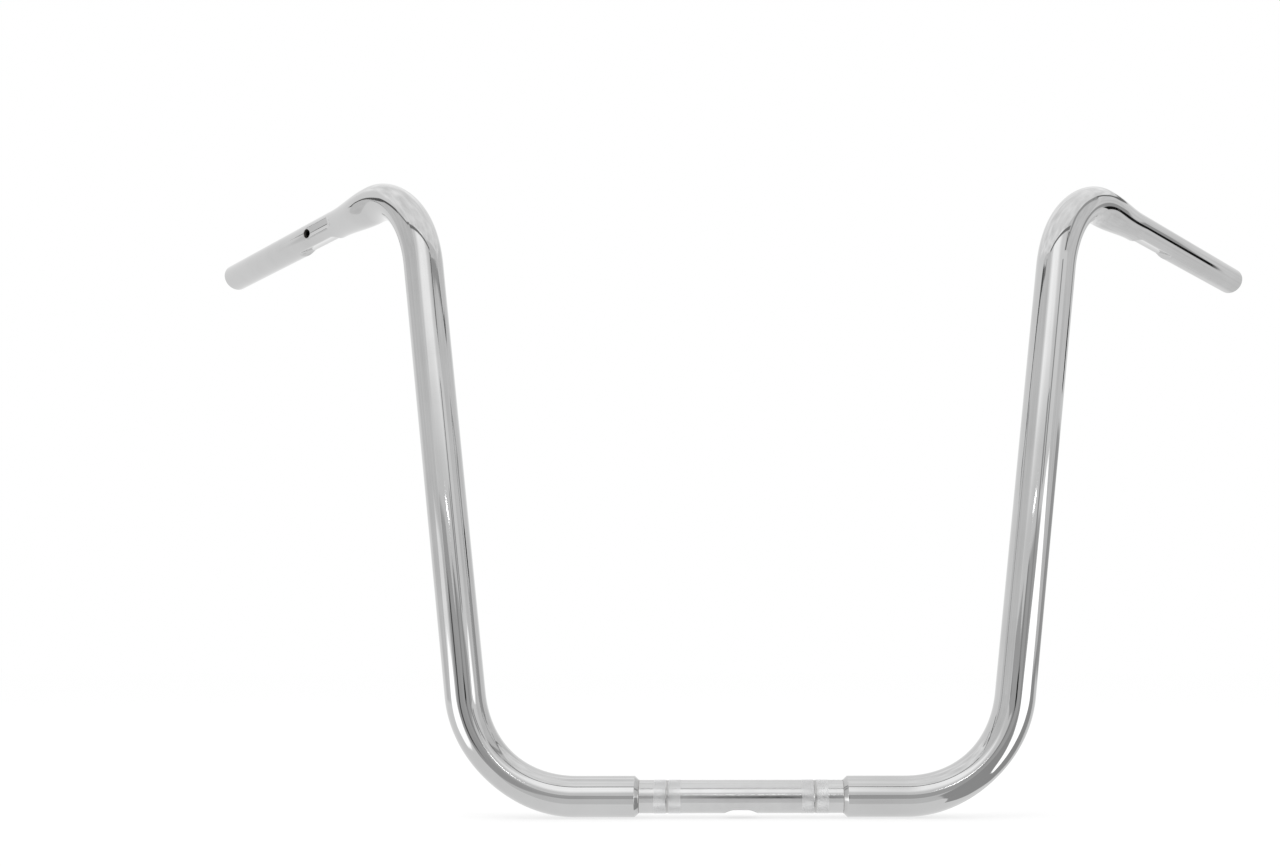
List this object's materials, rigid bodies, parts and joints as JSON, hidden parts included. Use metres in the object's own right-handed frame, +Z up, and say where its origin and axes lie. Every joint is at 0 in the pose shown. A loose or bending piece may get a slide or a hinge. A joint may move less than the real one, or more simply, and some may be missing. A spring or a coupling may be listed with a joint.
{
  "type": "ape hanger handlebar",
  "caption": "Tall chrome motorcycle handlebar: risers stand up from a slotted, knurled clamp tube, then sweep out and back into necked-down hand grips dimpled for wiring.",
  "frame": {"origin": "middle of the clamp tube, on its axis", "axes": "+X along the clamp tube to the rider's left side, +Y back towards the rider, +Z up in the risers' plane"},
  "size_m": [1.0396, 0.2902, 0.5269],
  "materials": {
    "chrome": "polished"
  },
  "bodies": {
    "root": {"clamp_tube": "chrome", "left_bar": "chrome", "right_bar": "chrome"}
  },
  "joints": []
}
